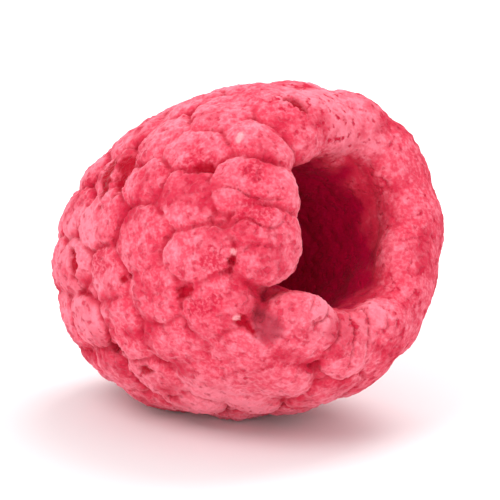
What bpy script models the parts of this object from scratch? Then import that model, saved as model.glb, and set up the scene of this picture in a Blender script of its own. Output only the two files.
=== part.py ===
"""A freeze-dried raspberry, picked off its core and lying on its side.

It is one body: rings of drupelets grown together round a hollow, which opens at the rim. Lengths are in
metres and +Z is up. +X is the level direction that the open end faces, so the fruit's own axis lies in the XZ
plane and rises towards the rim. The origin is on the surface that the fruit rests on, below its middle.
"""

import math
import random
from dataclasses import dataclass

import bmesh
import bpy
from mathutils import Matrix, Vector

MM = 0.001

# The body under the drupelets' crowns, measured along and across the fruit's own axis
BODY_LENGTH = 21.5 * MM
BODY_WIDTH = 19.0 * MM
BELLY_STATION = 14.6 * MM  # from the tip to where the fruit is widest
TIP_FULLNESS = 2.12  # 2 is an ellipse, more is blunter
SHOULDER_FULLNESS = 2.0  # the same, from the belly to the rim
CREST_WIDTH = 12.4 * MM  # across the circle where the rim is furthest forward
MOUTH_WIDTH = 9.4 * MM
MOUTH_STATION = 18.3 * MM  # from the tip to where the rolled rim ends and the hollow starts
HOLLOW_END = 8.0 * MM  # from the tip to the closed end of the hollow
HOLLOW_FULLNESS = 2.6
RIM_SLANT = 0.1  # how far the top of the rim is set back, as a share of its height
SLANT_RISE = 2  # the power by which the slant grows from the hollow's end to the rim
SLIT_TURN = math.radians(103.0)  # a short slit in the rim, from the top
SLIT_WIDTH = math.radians(9.0)  # half its width on the upper side
SLIT_EASE = math.radians(23.0)  # the same on the lower side, where it ends more gently
SLIT_DEPTH = 4.0 * MM
SLIT_RISE = 6  # the power by which it grows towards the rim
FLARE = 1.3 * MM  # how far the rim flares out
FLARE_TURN = math.radians(-65.0)  # where it flares most, from the top
FLARE_WIDTH = math.radians(40.0)  # half the width of the flare
FLARE_RISE = 5  # the power by which the flare and the pinch grow towards the rim
PINCH = 0.9 * MM  # how far the rim is pressed in, at its lowest part
PINCH_TURN = math.radians(212.0)
PINCH_WIDTH = math.radians(42.0)

# How it lies
LEAN = math.radians(20.5)  # the rim end is the higher one
AXIS_START = Vector((-11.35 * MM, 0.0, 5.35 * MM))  # where the tip of the body is

# The drupelets
SEED = 7
RING_PITCH = 4.0 * MM  # from ring to ring along the outline
DRUPELET_PITCH = 3.4 * MM  # from drupelet to drupelet round a ring
RIM_COUNT = 14
RIM_TURN = math.radians(7.0)  # the first drupelet of the rim, from the top
RIM_BACK = 1.3 * MM  # how far the rim's drupelets are centred behind the crest
CROWN = 0.5 * MM  # how far a drupelet stands out of the body
CROWN_FULLNESS = 2.6  # how flat its crown is, 2 is an ellipsoid
DRUPELET_TALL = 1.4 * MM  # half its height, most of it sunk in the body
DRUPELET_LONG = 2.6 * MM  # half its length, from tip to rim
DRUPELET_WIDE = 2.2 * MM  # half its width
RIM_LONG = 2.7 * MM  # the same for a drupelet that rolls over the rim
RIM_WIDE = 2.3 * MM
RIM_TALL = 1.7 * MM
RIM_FULLNESS = 2.1
ROLL_START = math.radians(175.0)  # from here on round, the rim's drupelets dried into one smooth roll
ROLL_END = math.radians(380.0)
ROLL_WIDE = 3.2 * MM
ROLL_TALL = 1.8 * MM
ROLL_CROWN = 0.45 * MM
SIZE_SPREAD = 0.12
PLACE_SPREAD = 0.28 * MM
ENDS_COUNT = 11  # the drupelets' inner ends, round the hollow
ENDS_PITCH = 2.9 * MM
ENDS_WIDE = 1.8 * MM
ENDS_TALL = 0.9 * MM
ENDS_CROWN = 0.2 * MM

# The drupelets round the near side of the mouth are set by hand, by their number: how far each one moves
# towards the rim, how far it turns, how much larger it is, and how much longer for its width
SHIFTS = {
    87: (-0.3 * MM, math.radians(0.0), 0.95, 1.0),
    88: (-0.4 * MM, math.radians(-1.0), 1.0, 0.95),
    89: (0.4 * MM, math.radians(1.0), 1.08, 0.92),
    90: (0.7 * MM, math.radians(1.0), 1.08, 0.95),
    91: (-0.4 * MM, math.radians(-10.0), 0.95, 1.1),
    92: (-1.0 * MM, math.radians(0.0), 1.0, 1.0),
    93: (-0.7 * MM, math.radians(3.0), 0.92, 1.0),
    94: (-0.9 * MM, math.radians(0.0), 0.95, 1.0),
    95: (-0.9 * MM, math.radians(0.0), 0.95, 1.0),
}
NO_SHIFT = (0.0, 0.0, 1.0, 1.0)

# How finely it is faceted
OUTLINE_STEPS = 8
BODY_SIDES = 24
CROWN_SIDES = 10
CROWN_RINGS = 6
ENDS_SIDES = 6
ENDS_RINGS = 4
SHARP_ANGLE = math.radians(35.0)

COLOUR = (0.72, 0.06, 0.12, 1.0)
ROUGHNESS = 0.85


@dataclass
class Bump:
    """One drupelet's crown, or one inner end, as a flattened ellipsoid in the fruit's own frame."""

    centre: Vector
    out: Vector
    along: Vector
    half_along: float
    half_across: float
    half_tall: float
    fullness: float


def superellipse(share, fullness):
    """The height of a unit superellipse at this share of its half width."""
    return (1.0 - min(abs(share), 1.0) ** fullness) ** (1.0 / fullness)


def outline():
    """The body's half outline as (station, radius), from the tip, over the rim and down the hollow."""
    belly, crest, mouth = BODY_WIDTH / 2, CREST_WIDTH / 2, MOUTH_WIDTH / 2
    steps = range(OUTLINE_STEPS + 1)
    quarter = [math.pi / 2 * i / OUTLINE_STEPS for i in steps]
    side = []
    for angle in quarter:
        share = math.cos(angle)
        side.append((BELLY_STATION * (1 - share), belly * superellipse(share, TIP_FULLNESS)))
    shoulder = []
    for angle in quarter:
        share = math.sin(angle)
        height = crest + (belly - crest) * superellipse(share, SHOULDER_FULLNESS)
        shoulder.append((BELLY_STATION + (BODY_LENGTH - BELLY_STATION) * share, height))
    lip = []
    for angle in quarter:
        station = MOUTH_STATION + (BODY_LENGTH - MOUTH_STATION) * math.cos(angle)
        lip.append((station, mouth + (crest - mouth) * (1 - math.sin(angle))))
    hollow = []
    for angle in quarter:
        share = math.sin(angle)
        station = MOUTH_STATION - (MOUTH_STATION - HOLLOW_END) * share
        hollow.append((station, mouth * superellipse(share, HOLLOW_FULLNESS)))
    return side + shoulder[1:] + lip[1:] + hollow[1:]


def travelled(line):
    """The distance along the outline to each of its points."""
    total = [0.0]
    for (x0, r0), (x1, r1) in zip(line, line[1:]):
        total.append(total[-1] + math.hypot(x1 - x0, r1 - r0))
    return total


def on_outline(line, total, distance):
    """The point of the outline at this distance from the tip, and its direction there."""
    i = max(k for k in range(len(total) - 1) if total[k] <= distance or k == 0)
    (x0, r0), (x1, r1) = line[i], line[i + 1]
    share = (distance - total[i]) / (total[i + 1] - total[i])
    step = Vector((x1 - x0, r1 - r0)).normalized()
    return Vector((x0 + (x1 - x0) * share, r0 + (r1 - r0) * share)), step


def spun(station, radius, turn):
    """A point or direction of the outline, turned round the fruit's axis. Turn 0 is the top."""
    return Vector((station, -radius * math.sin(turn), radius * math.cos(turn)))


def settled(point):
    """The point, moved where the rim slants, is slit, flares or is pressed in, and less towards the tip."""
    share = min(max((point.x - HOLLOW_END) / (BODY_LENGTH - HOLLOW_END), 0.0), 1.0)
    turn = math.atan2(-point.y, point.z)
    from_slit = (turn - SLIT_TURN) / (SLIT_WIDTH if turn < SLIT_TURN else SLIT_EASE)
    from_flare = math.remainder(turn - FLARE_TURN, math.tau) / FLARE_WIDTH
    from_pinch = math.remainder(turn - PINCH_TURN, math.tau) / PINCH_WIDTH
    slant = RIM_SLANT * point.z * share ** SLANT_RISE
    slit = SLIT_DEPTH * math.exp(-from_slit ** 2) * share ** SLIT_RISE
    wide = FLARE * math.exp(-from_flare ** 2) - PINCH * math.exp(-from_pinch ** 2)
    return point + spun(-slant - slit, wide * share ** FLARE_RISE, turn)


def bump(line, total, distance, turn, sizes, draw, shift=NO_SHIFT):
    """One bump at this place on the outline, moved and sized a little by chance, and then by its shift."""
    along_half, across_half, tall_half, fullness, crown = sizes
    distance += draw.uniform(-PLACE_SPREAD, PLACE_SPREAD)
    radius = on_outline(line, total, min(max(distance, 0.0), total[-1]))[0].y
    turn += draw.uniform(-PLACE_SPREAD, PLACE_SPREAD) / max(radius, DRUPELET_WIDE)
    size = 1 + draw.uniform(-SIZE_SPREAD, SIZE_SPREAD)
    stretch = 1 + draw.uniform(-SIZE_SPREAD, SIZE_SPREAD)
    further, turned, larger, longer = shift
    point, step = on_outline(line, total, min(max(distance + further, 0.0), total[-1]))
    turn += turned
    size *= larger
    stretch *= longer
    out = spun(-step.y, step.x, turn)
    along = spun(step.x, step.y, turn)
    return Bump(
        centre=settled(spun(point.x, point.y, turn)) - out * (tall_half - crown),
        out=out,
        along=along,
        half_along=along_half * size * stretch,
        half_across=across_half * size / stretch,
        half_tall=tall_half,
        fullness=fullness,
    )


def crowns(line, total, draw):
    """The drupelets on the outside, ring by ring from the tip, and those that roll over the rim."""
    crest = total[2 * OUTLINE_STEPS]
    rim = crest - RIM_BACK
    rings = round(rim / RING_PITCH) - 1
    pitch = rim / (rings + 1)
    sizes = (DRUPELET_LONG, DRUPELET_WIDE, DRUPELET_TALL, CROWN_FULLNESS, CROWN)
    found = [bump(line, total, 0.0, 0.0, sizes, draw)]
    phase = 0.0
    for ring in range(1, rings + 1):
        distance = ring * pitch
        radius = on_outline(line, total, distance)[0].y
        count = round(math.tau * radius / DRUPELET_PITCH)
        phase += math.pi / count
        for i in range(count):
            found.append(bump(line, total, distance, phase + math.tau * i / count, sizes, draw))
    lobe = (RIM_LONG, RIM_WIDE, RIM_TALL, RIM_FULLNESS, CROWN)
    roll = (RIM_LONG, ROLL_WIDE, ROLL_TALL, RIM_FULLNESS, ROLL_CROWN)
    for i in range(RIM_COUNT):
        turn = RIM_TURN + math.tau * i / RIM_COUNT
        rolled = ROLL_START < turn < ROLL_END or turn + math.tau < ROLL_END
        shift = SHIFTS.get(len(found), NO_SHIFT)
        found.append(bump(line, total, rim, turn, roll if rolled else lobe, draw, shift))
    return found


def inner_ends(line, total, draw):
    """The drupelets' inner ends, in rings down the hollow."""
    start = total[3 * OUTLINE_STEPS]
    sizes = (ENDS_WIDE, ENDS_WIDE, ENDS_TALL, CROWN_FULLNESS, ENDS_CROWN)
    rings = int((total[-1] - start) / ENDS_PITCH)
    found = []
    for ring in range(rings):
        distance = start + ring * ENDS_PITCH
        radius = on_outline(line, total, distance)[0].y
        count = max(1, round(ENDS_COUNT * radius / (MOUTH_WIDTH / 2)))
        for i in range(count):
            turn = math.tau * (i + 0.5 * (ring % 2)) / count
            found.append(bump(line, total, distance, turn, sizes, draw))
    return found


def turned_body(line):
    """The body without drupelets, turned round the fruit's axis."""
    bm = bmesh.new()
    rings = []
    for station, radius in line[1:-1]:
        turns = [math.tau * i / BODY_SIDES for i in range(BODY_SIDES)]
        rings.append([bm.verts.new(settled(spun(station, radius, turn))) for turn in turns])
    for a, b in zip(rings, rings[1:]):
        for i in range(BODY_SIDES):
            j = (i + 1) % BODY_SIDES
            bm.faces.new((a[i], b[i], b[j], a[j]))
    for ring, (station, _) in ((rings[0], line[0]), (rings[-1], line[-1])):
        pole = bm.verts.new((station, 0.0, 0.0))
        for i in range(BODY_SIDES):
            bm.faces.new((ring[i], ring[(i + 1) % BODY_SIDES], pole))
    bmesh.ops.recalc_face_normals(bm, faces=bm.faces)
    return bm


def dome(one, sides, rings):
    """A closed body for one bump: an ellipsoid with a flattened crown."""
    bm = bmesh.new()
    bmesh.ops.create_uvsphere(bm, u_segments=sides, v_segments=rings, radius=1.0)
    for corner in bm.verts:
        height = superellipse(math.hypot(corner.co.x, corner.co.y), one.fullness)
        corner.co.z = math.copysign(height, corner.co.z)
    across = one.out.cross(one.along)
    turn = Matrix((one.along, across, one.out)).transposed().to_4x4()
    size = Matrix.Diagonal((one.half_along, one.half_across, one.half_tall, 1.0))
    bm.transform(Matrix.Translation(one.centre) @ turn @ size)
    return bm


def as_object(bm, name, collection):
    """The mesh as an object of this collection."""
    mesh = bpy.data.meshes.new(name)
    bm.to_mesh(mesh)
    bm.free()
    made = bpy.data.objects.new(name, mesh)
    collection.objects.link(made)
    return made


def as_it_lies():
    """From the fruit's own frame, with its axis along +X, to the frame of the surface that it lies on."""
    return Matrix.Translation(AXIS_START) @ Matrix.Rotation(-LEAN, 4, "Y")


def rest_cutter(collection):
    """A block below the surface, which flattens the drupelets that the fruit lies on."""
    side = 2 * BODY_LENGTH
    bm = bmesh.new()
    bmesh.ops.create_cube(bm, size=side)
    bmesh.ops.translate(bm, vec=(0.0, 0.0, -side / 2), verts=bm.verts)
    return as_object(bm, "rest_cutter", collection)


def joined(fruit, operation, collection):
    """Applies one Boolean of the fruit with every object of a collection, and removes them."""
    modifier = fruit.modifiers.new(operation.lower(), "BOOLEAN")
    modifier.operation = operation
    modifier.operand_type = "COLLECTION"
    modifier.collection = collection
    modifier.solver = "EXACT"
    bpy.context.view_layer.update()
    evaluated = fruit.evaluated_get(bpy.context.evaluated_depsgraph_get())
    mesh = bpy.data.meshes.new_from_object(evaluated)
    fruit.modifiers.clear()
    fruit.data = mesh
    for helper in list(collection.objects):
        bpy.data.objects.remove(helper)
    bpy.data.collections.remove(collection)


def helpers(name):
    """An empty collection for the objects of one Boolean."""
    collection = bpy.data.collections.new(name)
    bpy.context.scene.collection.children.link(collection)
    return collection


def flesh():
    """The dried fruit's matt crimson."""
    material = bpy.data.materials.new("raspberry")
    material.use_nodes = True
    shader = material.node_tree.nodes["Principled BSDF"]
    shader.inputs["Base Color"].default_value = COLOUR
    shader.inputs["Roughness"].default_value = ROUGHNESS
    shader.inputs["Metallic"].default_value = 0.0
    return material


def raspberry():
    """Builds the fruit as one closed body."""
    draw = random.Random(SEED)
    line = outline()
    total = travelled(line)
    fruit = as_object(turned_body(line), "raspberry", bpy.context.scene.collection)
    drupelets = helpers("drupelets")
    for one in crowns(line, total, draw):
        as_object(dome(one, CROWN_SIDES, CROWN_RINGS), "drupelet", drupelets)
    for one in inner_ends(line, total, draw):
        as_object(dome(one, ENDS_SIDES, ENDS_RINGS), "inner_end", drupelets)
    joined(fruit, "UNION", drupelets)
    fruit.data.transform(as_it_lies())
    surface = helpers("surface")
    rest_cutter(surface)
    joined(fruit, "DIFFERENCE", surface)
    fruit.data.name = "raspberry"
    fruit.data.materials.clear()
    fruit.data.materials.append(flesh())
    fruit.data.shade_smooth()
    fruit.data.set_sharp_from_angle(angle=SHARP_ANGLE)


def main():
    """Empties the file and builds the fruit in it."""
    for old in list(bpy.data.objects):
        bpy.data.objects.remove(old)
    raspberry()


main()
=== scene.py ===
"""The looks of a freeze-dried raspberry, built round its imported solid.

The fruit is grown finer than the solid, from the same rings of drupelets round the same hollow. Its
drupelets are laid out as points, grown into domes and fused, and then Geometry Nodes crease, wrinkle, pit and
tear the skin. Lengths are in metres and +Z is up, as in the frame.
"""

import logging
import math
import random
from dataclasses import dataclass, field
from enum import Enum
from functools import reduce
from typing import Any

import bmesh
import bpy
import numpy as np
from mathutils import Matrix, Vector


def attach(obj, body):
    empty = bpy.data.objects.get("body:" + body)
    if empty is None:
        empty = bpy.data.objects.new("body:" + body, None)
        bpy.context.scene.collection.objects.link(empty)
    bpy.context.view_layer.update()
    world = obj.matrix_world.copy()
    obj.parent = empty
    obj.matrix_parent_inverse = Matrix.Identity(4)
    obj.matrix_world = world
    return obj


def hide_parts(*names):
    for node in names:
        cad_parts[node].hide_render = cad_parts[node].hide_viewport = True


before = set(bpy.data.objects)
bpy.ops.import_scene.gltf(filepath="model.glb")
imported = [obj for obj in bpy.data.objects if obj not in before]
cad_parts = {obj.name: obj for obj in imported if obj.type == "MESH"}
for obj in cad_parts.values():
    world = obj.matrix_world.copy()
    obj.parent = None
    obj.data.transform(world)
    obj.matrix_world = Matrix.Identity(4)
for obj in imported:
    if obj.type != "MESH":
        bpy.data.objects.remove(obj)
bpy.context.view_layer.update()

LOG = logging.getLogger("raspberry")
MM = 0.001
Colour = tuple[float, float, float]
Halves = tuple[float, float, float]
Socket = bpy.types.NodeSocket

# What a value goes from and to, and where it isn't 0 and 1, what comes out at these two ends
Ramp = tuple[float, ...]

# What the finish reads at each point of the skin, and what only the relief needs
SHOWN = ("crease", "crown", "hollow", "throat", "tint", "roll", "torn", "porous", "dusty", "window", "speck")
DROPPED = ("number", "seam", "dent", "calm", "smooth", "inner", "groove", "wrinkled", "sunk")


class Grown(Enum):
    """What a bump on the fruit is: a drupelet's crown, one on the rim, part of its roll, or an inner end."""

    CROWN = 0
    RIM = 1
    ROLL = 2
    INNER_END = 3


class MarkKind(Enum):
    """What is seen at one place of the skin."""

    TORN = "torn"
    POROUS = "porous"
    DUSTY = "dusty"
    WINDOW = "window"
    SPECK = "speck"
    SMOOTH = "smooth"
    WRINKLED = "wrinkled"


class Tree:
    """Writes the nodes of one tree, each with its settings and inputs in one call."""

    def __init__(self, tree: bpy.types.NodeTree) -> None:
        """Keeps the tree and empties it."""
        self.tree = tree
        tree.nodes.clear()

    def plug(self, socket: Socket, value: Any) -> None:
        """Links a socket to another one, or sets its value."""
        if isinstance(value, Socket):
            self.tree.links.new(value, socket)
        elif socket.type == "RGBA" and len(value) == 3:
            socket.default_value = (*value, 1.0)
        else:
            socket.default_value = value

    def node(self, kind: str, inputs: dict[Any, Any] | None = None, **settings: Any) -> bpy.types.Node:
        """Adds a node.

        Args:
            kind: The node's type.
            inputs: A socket or a value for each input, by name or number.
            settings: The node's own properties.

        Returns:
            The new node.
        """
        made = self.tree.nodes.new(kind)
        for name, value in settings.items():
            setattr(made, name, value)
        for name, value in (inputs or {}).items():
            self.plug(made.inputs[name], value)
        return made

    def math(self, operation: str, *values: Any) -> Socket:
        """A number worked out from numbers."""
        return self.node("ShaderNodeMath", dict(enumerate(values)), operation=operation).outputs[0]

    def plus(self, *values: Any) -> Socket:
        """The sum of numbers."""
        return reduce(lambda a, b: self.math("ADD", a, b), values)

    def times(self, *values: Any) -> Socket:
        """The product of numbers."""
        return reduce(lambda a, b: self.math("MULTIPLY", a, b), values)

    def largest(self, *values: Any) -> Socket:
        """The largest of some numbers."""
        return reduce(lambda a, b: self.math("MAXIMUM", a, b), values)

    def minus(self, value: Any, less: Any) -> Socket:
        """One number less another."""
        return self.math("SUBTRACT", value, less)

    def off(self, share: Any, part: float = 1.0) -> Socket:
        """What is left of 1 when this part of a share is taken off."""
        return self.minus(1.0, share if part == 1.0 else self.times(share, part))

    def vector(self, operation: str, *values: Any) -> Socket:
        """A vector worked out from vectors."""
        made = self.node("ShaderNodeVectorMath", dict(enumerate(values)), operation=operation)
        return made.outputs["Vector"]

    def dot(self, a: Any, b: Any) -> Socket:
        """How far one vector reaches along another."""
        return self.node("ShaderNodeVectorMath", {0: a, 1: b}, operation="DOT_PRODUCT").outputs["Value"]

    def scaled(self, vector: Any, factor: Any) -> Socket:
        """A vector times a number."""
        return self.node("ShaderNodeVectorMath", {0: vector, "Scale": factor}, operation="SCALE").outputs[0]

    def ramp(self, value: Any, low: Any, high: Any, start: Any = 0.0, end: Any = 1.0) -> Socket:
        """A smooth step from start to end as the value goes from low to high."""
        inputs = {"Value": value, "From Min": low, "From Max": high, "To Min": start, "To Max": end}
        return self.node("ShaderNodeMapRange", inputs, interpolation_type="SMOOTHSTEP").outputs[0]

    def noise(self, at: Any, size: Any, detail: float = 2.0, turn: Any = 0.0, output: str = "Fac") -> Socket:
        """A noise with features of this size; turn picks another one of its kind."""
        inputs = {"Vector": at, "Scale": self.math("DIVIDE", 1.0, size), "Detail": detail, "W": turn}
        return self.node("ShaderNodeTexNoise", inputs, noise_dimensions="4D").outputs[output]

    def mixed(self, share: Any, a: Any, b: Any, kind: str = "RGBA") -> Socket:
        """From a to b by this share, as a colour, a vector or a number."""
        first, result = {"FLOAT": (2, 0), "VECTOR": (4, 1), "RGBA": (6, 2)}[kind]
        made = self.node("ShaderNodeMix", {0: share, first: a, first + 1: b}, data_type=kind)
        return made.outputs[result]


class GeometryTree(Tree):
    """A Geometry Nodes group with one geometry in, one out, and named inputs for its sizes."""

    def __init__(self, name: str) -> None:
        """Makes the group with its geometry sockets."""
        super().__init__(bpy.data.node_groups.new(name, "GeometryNodeTree"))
        self.socket_ids: dict[str, str] = {}
        for way in ("INPUT", "OUTPUT"):
            self.tree.interface.new_socket("Geometry", in_out=way, socket_type="NodeSocketGeometry")
        self.into = self.tree.nodes.new("NodeGroupInput")
        self.out = self.tree.nodes.new("NodeGroupOutput")

    @property
    def geometry(self) -> Socket:
        """The geometry that comes in."""
        return self.into.outputs["Geometry"]

    def value(self, name: str, kind: str = "Float") -> Socket:
        """Adds a named input to the group and returns its socket."""
        made = self.tree.interface.new_socket(name, in_out="INPUT", socket_type="NodeSocket" + kind)
        self.socket_ids[name] = made.identifier
        return self.into.outputs[name]

    def attribute(self, name: str, kind: str = "FLOAT") -> Socket:
        """Reads an attribute of the geometry."""
        return self.node("GeometryNodeInputNamedAttribute", {"Name": name}, data_type=kind).outputs[0]

    def moved(self, geometry: Any, offset: Any = None, position: Any = None) -> Socket:
        """The geometry with its points moved by an offset or to a position."""
        inputs = {"Geometry": geometry}
        inputs.update({"Offset": offset} if position is None else {"Position": position})
        return self.node("GeometryNodeSetPosition", inputs).outputs[0]

    def stored(self, geometry: Any, name: str, value: Any, kind: str = "FLOAT") -> Socket:
        """The geometry with a value kept at each point under this name."""
        inputs = {"Geometry": geometry, "Name": name, "Value": value}
        return self.node("GeometryNodeStoreNamedAttribute", inputs, data_type=kind, domain="POINT").outputs[0]

    def blurred(self, value: Any, steps: int, kind: str = "FLOAT_VECTOR") -> Socket:
        """A value averaged with its neighbours' this many times."""
        inputs = {"Value": value, "Iterations": steps}
        return self.node("GeometryNodeBlurAttribute", inputs, data_type=kind).outputs[0]

    def axes(self, vector: Any) -> tuple[Socket, ...]:
        """A vector's three parts."""
        return tuple(self.node("ShaderNodeSeparateXYZ", {0: vector}).outputs)

    def joined(self, x: Any, y: Any, z: Any) -> Socket:
        """The vector with these three parts."""
        return self.node("ShaderNodeCombineXYZ", {0: x, 1: y, 2: z}).outputs[0]

    @property
    def place(self) -> Socket:
        """Where each point is."""
        return self.node("GeometryNodeInputPosition").outputs[0]

    @property
    def normal(self) -> Socket:
        """Which way each point faces."""
        return self.node("GeometryNodeInputNormal").outputs[0]

    def wave(self, size: Any, detail: float = 2.0, turn: float = 0.0) -> Socket:
        """A noise that goes up and down round 0 from point to point."""
        return self.minus(self.noise(self.place, size, detail, turn), 0.5)

    def end(self, geometry: Any, material: bpy.types.Material) -> None:
        """Ends the tree: copies made real, shaded smooth, and the finish set."""
        real = self.node("GeometryNodeRealizeInstances", {"Geometry": geometry}).outputs[0]
        smooth = self.node("GeometryNodeSetShadeSmooth", {"Geometry": real}).outputs[0]
        done = self.node("GeometryNodeSetMaterial", {"Geometry": smooth, "Material": material}).outputs[0]
        self.plug(self.out.inputs["Geometry"], done)

    def modifier(self, piece: bpy.types.Object, values: dict[str, Any]) -> None:
        """Puts the tree on a piece, with its inputs set by their identifiers."""
        made = piece.modifiers.new(self.tree.name, "NODES")
        made.node_group = self.tree
        for name, value in values.items():
            made[self.socket_ids[name]] = value


def piece_from(data: bpy.types.ID, name: str) -> bpy.types.Object:
    """An object of this mesh, camera or light, at the origin."""
    made = bpy.data.objects.new(name, data)
    bpy.context.scene.collection.objects.link(made)
    return made


def settle_modifiers(piece: bpy.types.Object) -> None:
    """Turns what a piece's modifiers make into its plain mesh, without empty material slots."""
    bpy.context.view_layer.update()
    evaluated = piece.evaluated_get(bpy.context.evaluated_depsgraph_get())
    mesh = bpy.data.meshes.new_from_object(evaluated)
    for slot in reversed(range(len(mesh.materials))):
        if mesh.materials[slot] is None:
            mesh.materials.pop(index=slot)
    piece.modifiers.clear()
    old = piece.data
    piece.data = mesh
    bpy.data.meshes.remove(old)
    mesh.name = piece.name


def superellipse(share: float, fullness: float) -> float:
    """The height of a unit superellipse at this share of its half width."""
    return (1.0 - min(abs(share), 1.0) ** fullness) ** (1.0 / fullness)


@dataclass
class Bump:
    """One drupelet's crown, or one inner end, as a flattened ellipsoid in the fruit's own frame."""

    kind: Grown
    centre: Vector
    out: Vector
    along: Vector
    halves: Vector


@dataclass(frozen=True)
class Shift:
    """How one drupelet differs from the rule: moved in mm and degrees, and sized."""

    along: float = 0.0
    turn: float = 0.0
    size: float = 1.0
    stretch: float = 1.0


SHIFTS = {
    87: Shift(-0.3, 0.0, 0.95),
    88: Shift(-0.4, -1.0, 1.0, 0.95),
    89: Shift(0.4, 1.0, 1.08, 0.92),
    90: Shift(0.7, 1.0, 1.08, 0.95),
    91: Shift(-0.4, -10.0, 0.95, 1.1),
    92: Shift(-1.0),
    93: Shift(-0.7, 3.0, 0.92),
    94: Shift(-0.9, 0.0, 0.95),
    95: Shift(-0.9, 0.0, 0.95),
}


@dataclass(frozen=True)
class FruitForm:
    """The fruit's sizes along and across its own axis, and the rule that its drupelets follow."""

    body_length: float = 21.5 * MM
    body_width: float = 19.0 * MM
    belly_station: float = 14.6 * MM
    tip_fullness: float = 2.12
    shoulder_fullness: float = 2.0
    crest_width: float = 12.4 * MM
    mouth_width: float = 9.4 * MM
    mouth_station: float = 18.3 * MM
    hollow_end: float = 8.0 * MM
    hollow_fullness: float = 2.6
    rim_slant: float = 0.1
    slant_rise: int = 2
    slit_turn: float = math.radians(103.0)
    slit_width: float = math.radians(9.0)
    slit_ease: float = math.radians(23.0)
    slit_depth: float = 4.0 * MM
    slit_rise: int = 6
    flare: float = 1.3 * MM
    flare_turn: float = math.radians(-65.0)
    flare_width: float = math.radians(40.0)
    flare_rise: int = 5
    pinch: float = 0.9 * MM
    pinch_turn: float = math.radians(212.0)
    pinch_width: float = math.radians(42.0)
    lean: float = math.radians(20.5)
    axis_start: tuple[float, float, float] = (-11.35 * MM, 0.0, 5.35 * MM)
    seed: int = 7
    ring_pitch: float = 4.0 * MM
    drupelet_pitch: float = 3.4 * MM
    rim_count: int = 14
    rim_turn: float = math.radians(7.0)
    rim_back: float = 1.3 * MM
    crown: float = 0.5 * MM
    crown_fullness: float = 2.6
    drupelet_halves: Halves = (2.6 * MM, 2.2 * MM, 1.4 * MM)
    rim_halves: Halves = (2.7 * MM, 2.3 * MM, 1.7 * MM)
    rim_fullness: float = 2.1
    roll_halves: Halves = (2.7 * MM, 3.2 * MM, 1.8 * MM)
    roll_crown: float = 0.45 * MM
    roll_start: float = math.radians(175.0)
    roll_end: float = math.radians(380.0)
    size_spread: float = 0.12
    place_spread: float = 0.28 * MM
    ends_count: int = 11
    ends_pitch: float = 2.9 * MM
    ends_halves: Halves = (1.8 * MM, 1.8 * MM, 0.9 * MM)
    ends_crown: float = 0.2 * MM
    layout_steps: int = 8

    def outline(self, steps: int) -> list[tuple[float, float]]:
        """The body's half outline, from the tip, over the rim and down to the hollow's end.

        Args:
            steps: How many steps each of its four stretches has.

        Returns:
            Station and radius of each point.
        """
        belly, crest, mouth = self.body_width / 2, self.crest_width / 2, self.mouth_width / 2
        ahead = self.body_length - self.belly_station
        lip = self.body_length - self.mouth_station
        deep = self.mouth_station - self.hollow_end
        line = []
        for stretch in range(4):
            for i in range(1 if stretch else 0, steps + 1):
                angle = math.pi / 2 * i / steps
                rise, fall = math.sin(angle), math.cos(angle)
                if stretch == 0:
                    height = belly * superellipse(fall, self.tip_fullness)
                    line.append((self.belly_station * (1 - fall), height))
                elif stretch == 1:
                    height = crest + (belly - crest) * superellipse(rise, self.shoulder_fullness)
                    line.append((self.belly_station + ahead * rise, height))
                elif stretch == 2:
                    line.append((self.mouth_station + lip * fall, mouth + (crest - mouth) * (1 - rise)))
                else:
                    height = mouth * superellipse(rise, self.hollow_fullness)
                    line.append((self.mouth_station - deep * rise, height))
        return line

    @staticmethod
    def travelled(line: list[tuple[float, float]]) -> list[float]:
        """The distance along the outline to each of its points."""
        total = [0.0]
        for (x0, r0), (x1, r1) in zip(line, line[1:]):
            total.append(total[-1] + math.hypot(x1 - x0, r1 - r0))
        return total

    @staticmethod
    def on_outline(line: list, total: list, distance: float) -> tuple[Vector, Vector]:
        """The point of the outline at this distance from the tip, and its direction there."""
        i = max(k for k in range(len(total) - 1) if total[k] <= distance or k == 0)
        (x0, r0), (x1, r1) = line[i], line[i + 1]
        share = (distance - total[i]) / (total[i + 1] - total[i])
        step = Vector((x1 - x0, r1 - r0)).normalized()
        return Vector((x0 + (x1 - x0) * share, r0 + (r1 - r0) * share)), step

    @staticmethod
    def spun(station: float, radius: float, turn: float) -> Vector:
        """A point or direction of the outline, turned round the fruit's axis. Turn 0 is the top."""
        return Vector((station, -radius * math.sin(turn), radius * math.cos(turn)))

    def settled(self, point: Vector) -> Vector:
        """The point, moved where the rim slants, is slit, flares or is pressed in, less towards the tip."""
        share = min(max((point.x - self.hollow_end) / (self.body_length - self.hollow_end), 0.0), 1.0)
        turn = math.atan2(-point.y, point.z)
        from_slit = (turn - self.slit_turn) / (self.slit_width if turn < self.slit_turn else self.slit_ease)
        from_flare = math.remainder(turn - self.flare_turn, math.tau) / self.flare_width
        from_pinch = math.remainder(turn - self.pinch_turn, math.tau) / self.pinch_width
        slant = self.rim_slant * point.z * share ** self.slant_rise
        slit = self.slit_depth * math.exp(-from_slit ** 2) * share ** self.slit_rise
        wide = self.flare * math.exp(-from_flare ** 2) - self.pinch * math.exp(-from_pinch ** 2)
        return point + self.spun(-slant - slit, wide * share ** self.flare_rise, turn)

    def lying(self) -> Matrix:
        """Turns the fruit's own frame to the way it lies on a surface."""
        return Matrix.Translation(self.axis_start) @ Matrix.Rotation(-self.lean, 4, "Y")

    def spot(self, distance: float, turn: float, line: list, total: list) -> tuple[Vector, Vector, Vector]:
        """A place on the settled body, the way out of it, and the way along the outline towards the rim."""
        point, step = self.on_outline(line, total, min(max(distance, 0.0), total[-1]))
        return (
            self.settled(self.spun(point.x, point.y, turn)),
            self.spun(-step.y, step.x, turn),
            self.spun(step.x, step.y, turn),
        )

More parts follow.
